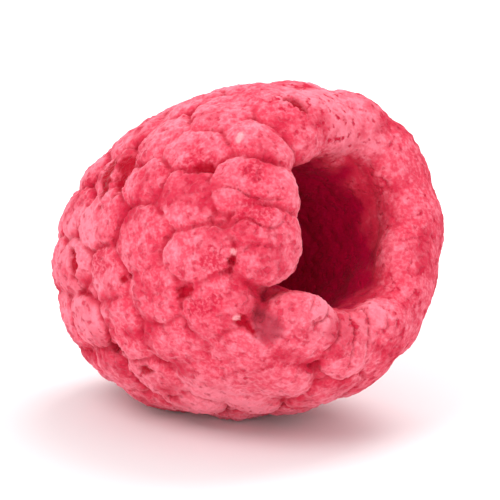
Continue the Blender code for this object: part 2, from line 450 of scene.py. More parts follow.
    def bump(self, line: list, total: list, distance: float, turn: float, kind: Grown, draw: random.Random,
             number: int = -1) -> Bump:
        """One bump at this place on the outline, moved and sized a little by chance, then by its shift."""
        halves, crown = {
            Grown.CROWN: (self.drupelet_halves, self.crown),
            Grown.RIM: (self.rim_halves, self.crown),
            Grown.ROLL: (self.roll_halves, self.roll_crown),
            Grown.INNER_END: (self.ends_halves, self.ends_crown),
        }[kind]
        distance += draw.uniform(-self.place_spread, self.place_spread)
        point, _ = self.on_outline(line, total, min(max(distance, 0.0), total[-1]))
        turn += draw.uniform(-self.place_spread, self.place_spread) / max(point.y, self.drupelet_halves[1])
        size = 1 + draw.uniform(-self.size_spread, self.size_spread)
        stretch = 1 + draw.uniform(-self.size_spread, self.size_spread)
        shift = SHIFTS.get(number, Shift())
        distance += shift.along * MM
        turn += math.radians(shift.turn)
        size *= shift.size
        stretch *= shift.stretch
        place, out, along = self.spot(distance, turn, line, total)
        wide = Vector((halves[0] * size * stretch, halves[1] * size / stretch, halves[2]))
        return Bump(kind, place - out * (halves[2] - crown), out, along, wide)

    def crowns(self, line: list, total: list, draw: random.Random) -> list[Bump]:
        """The drupelets on the outside, ring by ring from the tip, and those that roll over the rim."""
        rim = total[2 * self.layout_steps] - self.rim_back
        rings = round(rim / self.ring_pitch) - 1
        pitch = rim / (rings + 1)
        found = [self.bump(line, total, 0.0, 0.0, Grown.CROWN, draw)]
        phase = 0.0
        for ring in range(1, rings + 1):
            distance = ring * pitch
            count = round(math.tau * self.on_outline(line, total, distance)[0].y / self.drupelet_pitch)
            phase += math.pi / count
            for i in range(count):
                turn = phase + math.tau * i / count
                found.append(self.bump(line, total, distance, turn, Grown.CROWN, draw, len(found)))
        for i in range(self.rim_count):
            turn = self.rim_turn + math.tau * i / self.rim_count
            rolled = any(self.roll_start < turn + whole < self.roll_end for whole in (0.0, math.tau))
            kind = Grown.ROLL if rolled else Grown.RIM
            found.append(self.bump(line, total, rim, turn, kind, draw, len(found)))
        return found

    def inner_ends(self, line: list, total: list, draw: random.Random) -> list[Bump]:
        """The drupelets' inner ends, in rings down the hollow."""
        start = total[3 * self.layout_steps]
        found = []
        for ring in range(int((total[-1] - start) / self.ends_pitch)):
            distance = start + ring * self.ends_pitch
            radius = self.on_outline(line, total, distance)[0].y
            count = max(1, round(self.ends_count * radius / (self.mouth_width / 2)))
            for i in range(count):
                turn = math.tau * (i + 0.5 * (ring % 2)) / count
                found.append(self.bump(line, total, distance, turn, Grown.INNER_END, draw))
        return found

    def bumps(self) -> list[Bump]:
        """Every crown and inner end, drawn in the solid's own order."""
        draw = random.Random(self.seed)
        line = self.outline(self.layout_steps)
        total = self.travelled(line)
        return self.crowns(line, total, draw) + self.inner_ends(line, total, draw)


@dataclass(frozen=True)
class Mark:
    """One place on the skin, by its distance along the outline in mm and its turn from the top in degrees."""

    kind: MarkKind
    distance: float
    turn: float
    half_length: float
    half_width: float
    depth: float = 0.0


MARKS = (
    Mark(MarkKind.TORN, 14.7, 46.0, 0.6, 1.6, 0.1),
    Mark(MarkKind.TORN, 16.4, 46.0, 0.6, 1.5, 0.1),
    Mark(MarkKind.TORN, 11.6, 75.0, 0.55, 1.05, 0.3),
    Mark(MarkKind.TORN, 13.1, 112.5, 0.9, 0.45, 0.3),
    Mark(MarkKind.TORN, 14.9, 122.0, 0.6, 0.4, 0.25),
    Mark(MarkKind.TORN, 26.0, 3.0, 0.9, 0.35, 0.4),
    Mark(MarkKind.TORN, 23.3, 51.6, 0.55, 0.5, 0.12),
    Mark(MarkKind.TORN, 24.9, 90.5, 0.4, 0.3, 0.2),
    Mark(MarkKind.TORN, 21.2, 96.5, 0.55, 0.42, 0.15),
    Mark(MarkKind.TORN, 16.5, 87.0, 0.3, 0.25, 0.15),
    Mark(MarkKind.POROUS, 22.9, 49.5, 1.1, 0.8, 0.08),
    Mark(MarkKind.POROUS, 26.3, 51.0, 0.8, 0.7, 0.06),
    Mark(MarkKind.POROUS, 26.6, 70.0, 1.0, 1.1, 0.05),
    Mark(MarkKind.POROUS, 23.7, 88.0, 0.9, 0.9, 0.05),
    Mark(MarkKind.POROUS, 22.6, 103.0, 1.4, 0.6, 0.08),
    Mark(MarkKind.POROUS, 14.6, 78.0, 1.3, 1.0, 0.05),
    # Dust marks pale patches of skin; on the top rim they are also a painted highlight
    Mark(MarkKind.DUSTY, 27.6, 143.0, 1.5, 1.7),
    Mark(MarkKind.DUSTY, 28.3, 166.0, 1.4, 2.0),
    Mark(MarkKind.DUSTY, 25.5, -18.0, 2.4, 4.0),
    Mark(MarkKind.DUSTY, 27.8, -30.0, 2.2, 3.0),
    Mark(MarkKind.DUSTY, 12.0, 80.0, 3.6, 4.5),
    Mark(MarkKind.DUSTY, 17.5, 146.0, 3.0, 3.0),
    Mark(MarkKind.WINDOW, 25.6, 120.5, 0.95, 1.15, 0.12),
    Mark(MarkKind.TORN, 25.0, 113.5, 0.45, 0.4, 0.15),
    Mark(MarkKind.TORN, 24.7, 118.0, 0.2, 0.5, 0.1),
    Mark(MarkKind.SPECK, 25.1, 36.8, 0.22, 0.42, -0.08),
    Mark(MarkKind.SPECK, 24.8, 111.5, 0.26, 0.2, -0.06),
    Mark(MarkKind.SPECK, 25.0, 86.5, 0.16, 0.18, -0.05),
    Mark(MarkKind.SMOOTH, 20.5, 136.0, 4.2, 4.0),
    Mark(MarkKind.SMOOTH, 27.2, 150.0, 2.6, 3.4),
    Mark(MarkKind.WRINKLED, 26.0, 72.0, 2.6, 2.4),
    Mark(MarkKind.WRINKLED, 27.6, 152.0, 2.8, 3.2),
)


@dataclass(frozen=True)
class DriedTexture:
    """The powdered dust, grain, blotches and flecks of dried fruit, as one node group."""

    name: str = "dried texture"
    coarse_dust: Ramp = (0.42, 0.66, 0.0, 0.5)
    fine_dust: Ramp = (0.42, 0.66, -0.05, 0.35)
    blotch_range: Ramp = (0.53, 0.36)
    fleck_range: Ramp = (0.36, 0.52)
    blotch_pull: float = -0.35

    def group(self) -> bpy.types.NodeTree:
        """Builds the group, with a size for each kind of texture as its inputs."""
        group = bpy.data.node_groups.new(self.name, "ShaderNodeTree")
        group.interface.new_socket("Vector", in_out="INPUT", socket_type="NodeSocketVector")
        for socket in ("Blotch size", "Fleck size", "Grain size"):
            group.interface.new_socket(socket, in_out="INPUT", socket_type="NodeSocketFloat")
        for socket in ("Powder", "Grain", "Blotches", "Flecks"):
            group.interface.new_socket(socket, in_out="OUTPUT", socket_type="NodeSocketFloat")
        tree = Tree(group)
        into = tree.node("NodeGroupInput").outputs
        blotch = tree.noise(into["Vector"], into["Blotch size"], detail=4.0)
        dust = tree.noise(into["Vector"], into["Fleck size"], turn=9.0)
        grain = tree.noise(into["Vector"], into["Grain size"], turn=3.0)
        fleck = tree.noise(into["Vector"], into["Fleck size"], detail=3.0, turn=6.0)
        tree.node("NodeGroupOutput", {
            "Powder": tree.plus(tree.ramp(dust, *self.coarse_dust), tree.ramp(grain, *self.fine_dust)),
            "Grain": grain,
            "Blotches": tree.ramp(blotch, *self.blotch_range),
            "Flecks": tree.ramp(tree.plus(fleck, tree.times(blotch, self.blotch_pull)), *self.fleck_range),
        })
        return group


@dataclass(frozen=True)
class FleshFinish:
    """The dried flesh: matt and powdery, coral with a painted highlight on the crowns, deeper red in pores,
    and painted shade in the creases, throat and hollow.
    """

    crown_colour: Colour = (0.7, 0.05, 0.094)
    # Pale dust, also the colour of the painted highlight on crowns and the painted sheen at the edge
    dust_and_highlight_colour: Colour = (0.88, 0.215, 0.285)
    # Deeper red of blotches, pores and flecks; laid over the throat it is painted shade
    deep_red_and_shade_colour: Colour = (0.56, 0.013, 0.045)
    # Painted shade: darker red in creases, seams and grooves
    crease_shade_colour: Colour = (0.36, 0.002, 0.018)
    # Painted shade: deep crimson inside the hollow
    hollow_shade_colour: Colour = (0.45, 0.0003, 0.036)
    torn_colour: Colour = (0.4, 0.0006, 0.015)
    window_colour: Colour = (0.36, 0.032, 0.056)
    speck_colour: Colour = (0.94, 0.35, 0.39)
    sheen_colour: Colour = (1.0, 0.7, 0.74)
    blotch: float = 2.4 * MM
    fleck: float = 0.5 * MM
    grain: float = 0.2 * MM
    roughness: float = 0.9
    torn_roughness: float = 0.3
    sheen: float = 0.04
    sheen_roughness: float = 0.5
    specular: float = 0.06
    bump_depth: float = 0.07 * MM
    see_through: float = 0.15
    see_through_depth: float = 0.4 * MM
    see_through_radius: Colour = (1.0, 0.25, 0.2)
    tint_share: float = 0.12
    # Painted highlight: the prouder a crown, the paler it is
    crown_highlight: Ramp = (-0.3, 1.0, 0.0, 0.55)
    # Painted sheen: paler where the skin turns away from the view, less on the rolled rim
    fringe_blend: float = 0.4
    fringe_sheen: Ramp = (0.25, 1.0, -0.05, 0.8)
    fringe_off_roll: float = 0.8
    # Less pale dust and painted highlight on the rolled rim and inside the mouth
    dust_and_highlight_off_roll: float = 0.22
    # Paleness of the dust marks, partly painted highlight
    mark_dust_and_highlight: float = 0.55
    # Blotches full in the valleys and weaker on crowns: deeper red, partly painted shade
    stain_and_shade_share: Ramp = (1.0, -0.4, 0.35, 1.0)
    stain_and_shade_strength: float = 0.85
    pore_share: Ramp = (0.65, 0.4, 0.4, 1.0)
    fleck_share: Ramp = (-1.6, 1.0, 0.5, 0.8)
    roll_flecks: float = 0.35
    crease_strength: float = 0.9
    throat_strength: float = 0.8
    window_share: Ramp = (0.3, 0.65, 0.7, 0.85)

    def dust_and_highlight_share(self, tree: Tree, marks: dict[str, Socket], dust: Socket, crown: Socket) -> Socket:
        """How much pale colour lies at each point: dust, dust marks that are partly painted highlight, a
        painted highlight on crowns, and a painted sheen where the skin turns away.
        """
        # Painted sheen from how the skin faces the view, kept off the rolled rim
        fringe = tree.node("ShaderNodeLayerWeight", {"Blend": self.fringe_blend}).outputs["Facing"]
        beside_roll = tree.off(marks["roll"], self.fringe_off_roll)
        fringe = tree.times(tree.ramp(fringe, *self.fringe_sheen), beside_roll)
        # Painted highlight on the proud crowns
        crown_highlight = tree.ramp(crown, *self.crown_highlight)
        dust_and_highlight_share = tree.plus(dust, crown_highlight, fringe, tree.times(marks["dusty"], self.mark_dust_and_highlight))
        dust_and_highlight_share = tree.minus(dust_and_highlight_share, tree.times(marks["roll"], self.dust_and_highlight_off_roll))
        return tree.times(dust_and_highlight_share, tree.off(marks["crease"]))

    def colour(self, tree: Tree, marks: dict[str, Socket], texture: Any) -> Socket:
        """The colour at each point, from the powdered crowns with their painted highlight to the marks, with
        painted shade in creases, throat and hollow.

        Args:
            tree: The material's tree.
            marks: What the mesh holds at each point, by name.
            texture: The outputs of the dried texture.

        Returns:
            The colour's socket.
        """
        crown = tree.plus(marks["crown"], tree.times(marks["tint"], self.tint_share))
        # Blotches deepest in the valleys between crowns, partly painted shade
        stain_and_shade = tree.times(texture["Blotches"], tree.ramp(crown, *self.stain_and_shade_share))
        pores = tree.times(marks["porous"], tree.ramp(texture["Grain"], *self.pore_share))
        tinted = tree.ramp(marks["tint"], *self.fleck_share)
        flecked = tree.plus(tinted, tree.times(marks["roll"], self.roll_flecks))
        window = tree.ramp(texture["Grain"], *self.window_share)
        layers = (
            (tree.times(tree.largest(stain_and_shade, pores), self.stain_and_shade_strength), self.deep_red_and_shade_colour),
            (tree.times(texture["Flecks"], flecked), self.deep_red_and_shade_colour),
            # Painted shade in creases, seams and grooves
            (tree.times(marks["crease"], self.crease_strength), self.crease_shade_colour),
            # Painted shade in the throat, before the hollow
            (tree.times(marks["throat"], self.throat_strength), self.deep_red_and_shade_colour),
            # Painted shade deep in the hollow
            (marks["hollow"], self.hollow_shade_colour),
            (tree.times(marks["window"], window), self.window_colour),
            (marks["torn"], self.torn_colour),
            (marks["speck"], self.speck_colour),
        )
        # Dust, painted highlight and painted sheen lighten the coral
        dust_and_highlight_share = self.dust_and_highlight_share(tree, marks, texture["Powder"], crown)
        colour = tree.mixed(dust_and_highlight_share, self.crown_colour, self.dust_and_highlight_colour)
        for share, layer in layers:
            colour = tree.mixed(share, colour, layer)
        return colour

    def material(self) -> bpy.types.Material:
        """Builds the finish, from the marks that the fruit's mesh carries."""
        made = bpy.data.materials.new("flesh")
        made.use_nodes = True
        tree = Tree(made.node_tree)
        marks = {name: tree.node("ShaderNodeAttribute", attribute_name=name).outputs["Fac"] for name in SHOWN}
        texture = tree.node("ShaderNodeGroup", node_tree=DriedTexture().group())
        place = tree.node("ShaderNodeTexCoord").outputs["Object"]
        sizes = {"Blotch size": self.blotch, "Fleck size": self.fleck, "Grain size": self.grain}
        for name, value in {"Vector": place, **sizes}.items():
            tree.plug(texture.inputs[name], value)
        height = tree.minus(texture.outputs["Grain"], texture.outputs["Flecks"])
        bump = tree.node("ShaderNodeBump", {"Height": height, "Distance": self.bump_depth})
        shader = tree.node("ShaderNodeBsdfPrincipled", {
            "Base Color": self.colour(tree, marks, texture.outputs),
            "Roughness": tree.mixed(marks["torn"], self.roughness, self.torn_roughness, "FLOAT"),
            "Normal": bump.outputs[0],
            "Subsurface Weight": self.see_through,
            "Subsurface Radius": self.see_through_radius,
            "Subsurface Scale": self.see_through_depth,
            "Sheen Weight": self.sheen,
            "Sheen Roughness": self.sheen_roughness,
            "Sheen Tint": self.sheen_colour,
            "Specular IOR Level": self.specular,
        })
        tree.node("ShaderNodeOutputMaterial", {"Surface": shader.outputs[0]})
        return made


@dataclass(frozen=True)
class Relief:
    """The fine shape of the skin: masks, marks, seams, creases and wrinkles, as one tree."""

    form: FruitForm
    marks: tuple[Mark, ...] = MARKS
    crease_depth: float = 0.27 * MM
    wrinkle_depth: float = 0.07 * MM
    wrinkle_size: float = 1.0 * MM
    grain_depth: float = 0.13 * MM
    grain_size: float = 0.5 * MM
    groove_depth: float = 0.2 * MM
    tint_blur: int = 4
    inner_radius: Ramp = (8.0 * MM, 7.0 * MM)
    inner_start: Ramp = (4.0 * MM, 6.0 * MM)
    inner_facing: Ramp = (0.25, -0.25)
    inner_blur: int = 6
    patch_size: float = 1.2 * MM
    patch_reach: float = 7.0 * MM
    hollow_edge: Ramp = (20.0 * MM, 18.4 * MM)
    throat_edge: Ramp = (21.8 * MM, 19.6 * MM)
    roll_tilt: float = 0.12
    roll_side: Ramp = (-1.8 * MM, -0.6 * MM)
    roll_front: Ramp = (15.5 * MM, 18.0 * MM)
    roll_inside: float = 0.7
    roll_swell: float = 0.12 * MM
    roll_quiet: float = 0.5
    coarse_rag: float = 0.6 * MM
    fine_rag: float = 0.3 * MM
    rag_reach: float = 1.5
    even_rag: float = 0.35
    mark_edge: Ramp = (1.25, 0.65)
    mark_height: float = 2.5 * MM
    seam_gain: float = 2.2
    seam_patch: float = 1.7 * MM
    seam_share: Ramp = (0.35, 0.6, 0.2, 1.0)
    seam_off_calm: float = 0.85
    calm_blur: int = 2
    grooves: float = 15.0
    groove_bend: float = 5.0
    groove_patch: float = 2.5 * MM
    groove_edge: Ramp = (0.3, 0.0)
    soft_blur: int = 2
    smooth_blur: int = 30
    dent_blur: int = 14
    dent_range: Ramp = (0.0, 0.12 * MM)
    dent_crease: float = 0.6
    groove_crease: float = 0.5
    crown_blur: int = 60
    crown_height: float = 0.25 * MM
    wrinkle_rise: Ramp = (0.0, 0.1, -1.0, 0.25)

    def put_on(self, piece: bpy.types.Object, grown: bpy.types.Object, material: bpy.types.Material) -> None:
        """Puts the relief on the fused fruit.

        Args:
            piece: The fused fruit, in its own frame.
            grown: The fruit before it was fused, which knows its drupelets by number.
            material: The fruit's finish.
        """
        tree = GeometryTree("relief")
        before = tree.node("GeometryNodeObjectInfo", {"Object": tree.value("Grown", "Object")})
        values = {
            "Crease depth": self.crease_depth, "Wrinkle depth": self.wrinkle_depth,
            "Wrinkle size": self.wrinkle_size, "Grain depth": self.grain_depth, "Grain size": self.grain_size,
        }
        sizes = {name: tree.value(name) for name in values}
        skin = self.numbered(tree, tree.geometry, before.outputs["Geometry"])
        skin = self.masked(tree, skin)
        skin = self.marked(tree, skin)
        skin = self.seamed(tree, skin)
        skin = self.softened(tree, skin)
        skin = self.creased(tree, skin, sizes)
        for name in DROPPED:
            skin = tree.node("GeometryNodeRemoveAttribute", {"Geometry": skin, "Name": name}).outputs[0]
        tree.end(self.laid_down(tree, skin), material)
        tree.modifier(piece, {"Grown": grown, **values})

    def numbered(self, tree: GeometryTree, skin: Socket, before: Socket) -> Socket:
        """Stores the number and tint of the drupelet that each point belongs to."""
        for name in ("number", "tint"):
            inputs = {0: before, 1: tree.attribute(name)}
            near = tree.node("GeometryNodeSampleNearestSurface", inputs, data_type="FLOAT").outputs[0]
            skin = tree.stored(skin, name, near)
        return tree.stored(skin, "tint", tree.blurred(tree.attribute("tint"), self.tint_blur, "FLOAT"))

    def masked(self, tree: GeometryTree, skin: Socket) -> Socket:
        """Stores where the skin is inside the mouth, in its throat and hollow, and on the rolled rim."""
        x, y, z = tree.axes(tree.place)
        radius = tree.math("SQRT", tree.plus(tree.times(y, y), tree.times(z, z)))
        ray = tree.vector("NORMALIZE", tree.joined(0.0, y, z))
        facing = tree.ramp(tree.dot(tree.normal, ray), *self.inner_facing)
        within = tree.times(tree.ramp(radius, *self.inner_radius), tree.ramp(x, *self.inner_start))
        skin = tree.stored(skin, "inner", tree.times(facing, within))
        inner = tree.attribute("inner")
        skin = tree.stored(skin, "inner", tree.blurred(inner, self.inner_blur, "FLOAT"))
        patch = tree.wave(self.patch_size, detail=4.0, turn=8.0)
        ahead = tree.plus(x, tree.times(z, self.form.rim_slant), tree.times(patch, self.patch_reach))
        # The hollow and throat masks carry painted shade inside the mouth
        for name, edge in (("hollow", self.hollow_edge), ("throat", self.throat_edge)):
            skin = tree.stored(skin, name, tree.times(inner, tree.ramp(ahead, *edge)))
        far = tree.ramp(tree.plus(y, tree.times(z, self.roll_tilt)), *self.roll_side)
        roll = tree.times(far, tree.ramp(x, *self.roll_front))
        return tree.stored(skin, "roll", tree.largest(roll, tree.times(inner, self.roll_inside)))

    def mask(self, tree: GeometryTree, one: Mark, ragged: Socket, line: list, total: list) -> Socket:
        """How strong one mark is at each point, with a ragged edge where the skin is torn or porous."""
        middle, out, along = self.form.spot(one.distance * MM, math.radians(one.turn), line, total)
        offset = tree.vector("SUBTRACT", tree.place, tuple(middle + out * self.form.crown))
        lengths = (
            (along, one.half_length * MM),
            (out.cross(along), one.half_width * MM),
            (out, self.mark_height),
        )
        squares = []
        for way, size in lengths:
            part = tree.math("DIVIDE", tree.dot(offset, tuple(way)), size)
            squares.append(tree.times(part, part))
        torn = one.kind in (MarkKind.TORN, MarkKind.POROUS)
        edge = ragged if torn else tree.times(ragged, self.even_rag)
        return tree.ramp(tree.plus(tree.math("SQRT", tree.plus(*squares)), edge), *self.mark_edge)

    def marked(self, tree: GeometryTree, skin: Socket) -> Socket:
        """Stores the strength of each kind of mark at each point, and how deep the marks sink it."""
        line = self.form.outline(self.form.layout_steps)
        total = self.form.travelled(line)
        coarse = tree.wave(self.coarse_rag)
        fine = tree.wave(self.fine_rag, detail=1.0, turn=4.0)
        ragged = tree.times(tree.plus(coarse, fine), self.rag_reach)
        found: dict[str, Any] = {kind.value: 0.0 for kind in MarkKind}
        sunk: Any = 0.0
        for one in self.marks:
            mask = self.mask(tree, one, ragged, line, total)
            found[one.kind.value] = tree.largest(found[one.kind.value], mask)
            if one.depth:
                sunk = tree.plus(sunk, tree.times(mask, one.depth * MM))
        for name, value in {**found, "sunk": sunk}.items():
            skin = tree.stored(skin, name, value)
        return skin

    def seamed(self, tree: GeometryTree, skin: Socket) -> Socket:
        """Stores the seams between drupelets, weak where the skin is calm, and the grooves."""
        ends = tree.node("GeometryNodeInputMeshEdgeVertices").outputs
        ids = []
        for i in (0, 1):
            inputs = {"Index": ends[i], "Value": tree.attribute("number")}
            at_end = tree.node("GeometryNodeFieldAtIndex", inputs, data_type="FLOAT", domain="POINT")
            ids.append(at_end.outputs[0])
        differ = tree.math("GREATER_THAN", tree.math("ABSOLUTE", tree.minus(*ids)), 0.5)
        seam = tree.node("GeometryNodeFieldOnDomain", {"Value": differ}, data_type="FLOAT", domain="EDGE")
        skin = tree.stored(skin, "seam", seam.outputs[0])
        calm = tree.largest(tree.attribute("roll"), tree.attribute("smooth"))
        skin = tree.stored(skin, "calm", tree.blurred(calm, self.calm_blur, "FLOAT"))
        uneven = tree.ramp(tree.noise(tree.place, self.seam_patch, detail=1.0, turn=5.0), *self.seam_share)
        wide = tree.times(tree.blurred(tree.attribute("seam"), 1, "FLOAT"), self.seam_gain)
        seam = tree.times(tree.math("MINIMUM", wide, 1.0), uneven)
        lively = tree.off(tree.attribute("calm"), self.seam_off_calm)
        skin = tree.stored(skin, "seam", tree.times(seam, lively))
        return tree.stored(skin, "groove", self.groove(tree))

    def groove(self, tree: GeometryTree) -> Socket:
        """The strength of the grooves that run up the rim where it is wrinkled."""
        _, y, z = tree.axes(tree.place)
        turn = tree.math("ARCTAN2", tree.times(y, -1.0), z)
        patch = tree.noise(tree.place, self.groove_patch, detail=1.0, turn=7.0)
        bend = tree.times(patch, self.groove_bend)
        wave = tree.math("SINE", tree.plus(tree.times(turn, self.grooves), bend))
        line = tree.ramp(tree.math("ABSOLUTE", wave), *self.groove_edge)
        return tree.times(line, tree.attribute("wrinkled"))

    def softened(self, tree: GeometryTree, skin: Socket) -> Socket:
        """Softens the fused skin, most of all where it is calm, and swells the rolled rim."""
        place = tree.place
        skin = tree.moved(skin, position=tree.blurred(place, self.soft_blur))
        smooth = tree.blurred(place, self.smooth_blur)
        skin = tree.moved(skin, position=tree.mixed(tree.attribute("calm"), place, smooth, "VECTOR"))
        swell = tree.times(tree.attribute("roll"), self.roll_swell)
        return tree.moved(skin, tree.scaled(tree.normal, swell))

    def creased(self, tree: GeometryTree, skin: Socket, sizes: dict[str, Socket]) -> Socket:
        """Moves the skin out and in by its fine relief, and stores its crowns and creases."""
        place, normal = tree.place, tree.normal
        hill = tree.vector("SUBTRACT", tree.blurred(place, self.dent_blur), place)
        dent = tree.ramp(tree.dot(hill, normal), *self.dent_range)
        skin = tree.stored(skin, "dent", tree.blurred(dent, 1, "FLOAT"))
        # The crown mask drives the painted highlight on crowns and the painted shade of blotches in the
        # valleys
        proud = tree.vector("SUBTRACT", place, tree.blurred(place, self.crown_blur))
        proud = tree.dot(proud, normal)
        skin = tree.stored(skin, "crown", tree.math("DIVIDE", proud, self.crown_height))
        skin = tree.moved(skin, tree.scaled(normal, self.rise(tree, sizes)))
        # The crease mask carries painted shade into the dents, grooves and seams
        dent = tree.times(tree.attribute("dent"), self.dent_crease)
        groove = tree.times(tree.attribute("groove"), self.groove_crease)
        return tree.stored(skin, "crease", tree.largest(dent, groove, tree.attribute("seam")))

    def rise(self, tree: GeometryTree, sizes: dict[str, Socket]) -> Socket:
        """How far each point of the skin moves out: shrivelled and grainy, and sunk at creases and marks."""
        fine = tree.wave(sizes["Wrinkle size"])
        wrinkle = tree.ramp(tree.math("ABSOLUTE", fine), *self.wrinkle_rise)
        quiet = tree.off(tree.attribute("roll"), self.roll_quiet)
        wrinkle = tree.times(wrinkle, sizes["Wrinkle depth"], quiet)
        grain = tree.times(tree.wave(sizes["Grain size"], turn=2.0), tree.times(sizes["Grain depth"], 2.0))
        crease = tree.times(tree.attribute("seam"), sizes["Crease depth"])
        groove = tree.times(tree.attribute("groove"), self.groove_depth)
        return tree.minus(tree.plus(wrinkle, grain), tree.plus(crease, groove, tree.attribute("sunk")))

    def laid_down(self, tree: GeometryTree, skin: Socket) -> Socket:
        """Turns the fruit the way it lies, and keeps it from sinking below the surface."""
        down = tree.node("GeometryNodeTransform", {
            "Geometry": skin, "Translation": self.form.axis_start, "Rotation": (0.0, -self.form.lean, 0.0),
        }).outputs[0]
        x, y, z = tree.axes(tree.place)
        return tree.moved(down, position=tree.joined(x, y, tree.largest(z, 0.0)))


@dataclass
class Fruit:
    """The whole fruit as one closed skin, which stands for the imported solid."""

    form: FruitForm = field(default_factory=FruitForm)
    finish: FleshFinish = field(default_factory=FleshFinish)
    core_steps: int = 30
    core_sides: int = 96
    dome_level: int = 4
    wobble: float = 0.28 * MM
    wobble_size: float = 2.0 * MM
    voxel: float = 0.14 * MM
    most_triangles: int = 198000
    tint_spread: float = 40.0

    def layout(self) -> bpy.types.Object:
        """The bumps as loose points, each with its turn, half sizes, kind, number and a random tint."""
        bumps = self.form.bumps()
        mesh = bpy.data.meshes.new("drupelet_layout")
        mesh.from_pydata([one.centre for one in bumps], [], [])
        draw = np.random.default_rng(self.form.seed)
        turns = []
        for one in bumps:
            across = one.out.cross(one.along)
            turns.append(Matrix((one.along, across, one.out)).transposed().to_euler())
        values = {
            "turned": ("FLOAT_VECTOR", "vector", np.array(turns)),
            "halves": ("FLOAT_VECTOR", "vector", np.array([one.halves for one in bumps])),
            "kind": ("INT", "value", np.array([one.kind.value for one in bumps])),
            "number": ("FLOAT", "value", np.arange(1.0, len(bumps) + 1)),
            "tint": ("FLOAT", "value", draw.uniform(-1.0, 1.0, len(bumps))),
        }
        for name, (kind, key, data) in values.items():
            mesh.attributes.new(name, kind, "POINT").data.foreach_set(key, data.ravel())
        return piece_from(mesh, "drupelet_layout")

    def core(self) -> bpy.types.Object:
        """The body without drupelets, turned round the fruit's axis."""
        line = self.form.outline(self.core_steps)
        bm = bmesh.new()
        rings = []
        for station, radius in line[1:-1]:
            turns = [math.tau * i / self.core_sides for i in range(self.core_sides)]
            rings.append([bm.verts.new(self.form.settled(self.form.spun(station, radius, t))) for t in turns])
        for a, b in zip(rings, rings[1:]):
            for i in range(self.core_sides):
                j = (i + 1) % self.core_sides
                bm.faces.new((a[i], b[i], b[j], a[j]))
        for ring, (station, _) in ((rings[0], line[0]), (rings[-1], line[-1])):
            pole = bm.verts.new((station, 0.0, 0.0))
            for i in range(self.core_sides):
                bm.faces.new((ring[i], ring[(i + 1) % self.core_sides], pole))
        bmesh.ops.recalc_face_normals(bm, faces=bm.faces)
        mesh = bpy.data.meshes.new("grown")
        bm.to_mesh(mesh)
        bm.free()
        return piece_from(mesh, "grown")

    def growing(self, material: bpy.types.Material) -> GeometryTree:
        """The tree that grows a dome on each point of the layout, round the core."""
        tree = GeometryTree("drupelets")
        layout = tree.value("Layout", "Object")
        wobble, wobble_size = tree.value("Wobble"), tree.value("Wobble size")
        points = tree.node("GeometryNodeObjectInfo", {"Object": layout}).outputs["Geometry"]
        angles = tree.attribute("turned", "FLOAT_VECTOR")
        turned = tree.node("FunctionNodeEulerToRotation", {0: angles}).outputs[0]
        join = tree.node("GeometryNodeJoinGeometry")
        tree.plug(join.inputs[0], tree.geometry)
        for kind in Grown:
            chosen = tree.node("FunctionNodeCompare", {2: tree.attribute("kind", "INT"), 3: kind.value},
                               data_type="INT", operation="EQUAL").outputs[0]
            rim = kind in (Grown.RIM, Grown.ROLL)
            copies = tree.node("GeometryNodeInstanceOnPoints", {
                "Points": points, "Selection": chosen, "Rotation": turned,
                "Instance": self.dome(tree, self.form.rim_fullness if rim else self.form.crown_fullness),
                "Scale": tree.attribute("halves", "FLOAT_VECTOR"),
            }).outputs[0]
            real = tree.node("GeometryNodeRealizeInstances", {"Geometry": copies}).outputs[0]
            tree.plug(join.inputs[0], real)
        turn = tree.times(tree.attribute("tint"), self.tint_spread)
        noise = tree.noise(tree.place, wobble_size, detail=1.0, turn=turn, output="Color")
        offset = tree.vector("SUBTRACT", noise, (0.5, 0.5, 0.5))
        offset = tree.scaled(offset, tree.times(wobble, 2.0))
        tree.end(tree.moved(join.outputs[0], offset), material)
        return tree

    def dome(self, tree: GeometryTree, fullness: float) -> Socket:
        """A unit ball with its top and bottom flattened to this fullness."""
        ball = tree.node("GeometryNodeMeshIcoSphere", {"Subdivisions": self.dome_level}).outputs["Mesh"]
        x, y, z = tree.axes(tree.place)
        wide = tree.math("SQRT", tree.plus(tree.times(x, x), tree.times(y, y)))
        left = tree.largest(tree.off(tree.math("POWER", wide, fullness)), 0.0)
        height = tree.times(tree.math("POWER", left, 1.0 / fullness), tree.math("SIGN", z))
        return tree.moved(ball, position=tree.joined(x, y, height))

    def build(self) -> bpy.types.Object:
        """Grows, fuses and finishes the fruit.

        Returns:
            The finished piece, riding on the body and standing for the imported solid.
        """
        material = self.finish.material()
        layout = self.layout()
        grown = self.core()
        tree = self.growing(material)
        tree.modifier(grown, {"Layout": layout, "Wobble": self.wobble, "Wobble size": self.wobble_size})
        settle_modifiers(grown)
        piece = piece_from(grown.data.copy(), "raspberry_flesh")
        fuse = piece.modifiers.new("fuse", "REMESH")
        fuse.mode = "VOXEL"
        fuse.voxel_size = self.voxel * 1
        fuse.use_smooth_shade = True
        Relief(self.form).put_on(piece, grown, material)
        settle_modifiers(piece)
        keep_largest(piece)
        thin_out(piece, self.most_triangles)
        for helper in (layout, grown):
            bpy.data.objects.remove(helper)
        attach(piece, "root")
        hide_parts("raspberry")
        return piece


def thin_out(piece: bpy.types.Object, most: int) -> None:
    """Thins a piece's mesh to this many triangles, where it has more."""
    piece.data.calc_loop_triangles()
    count = len(piece.data.loop_triangles)
    if count <= most:
        return
    thin = piece.modifiers.new("thin", "DECIMATE")
    thin.ratio = most / count
    settle_modifiers(piece)
    LOG.info("%s: thinned from %d to %d triangles", piece.name, count, len(piece.data.polygons))


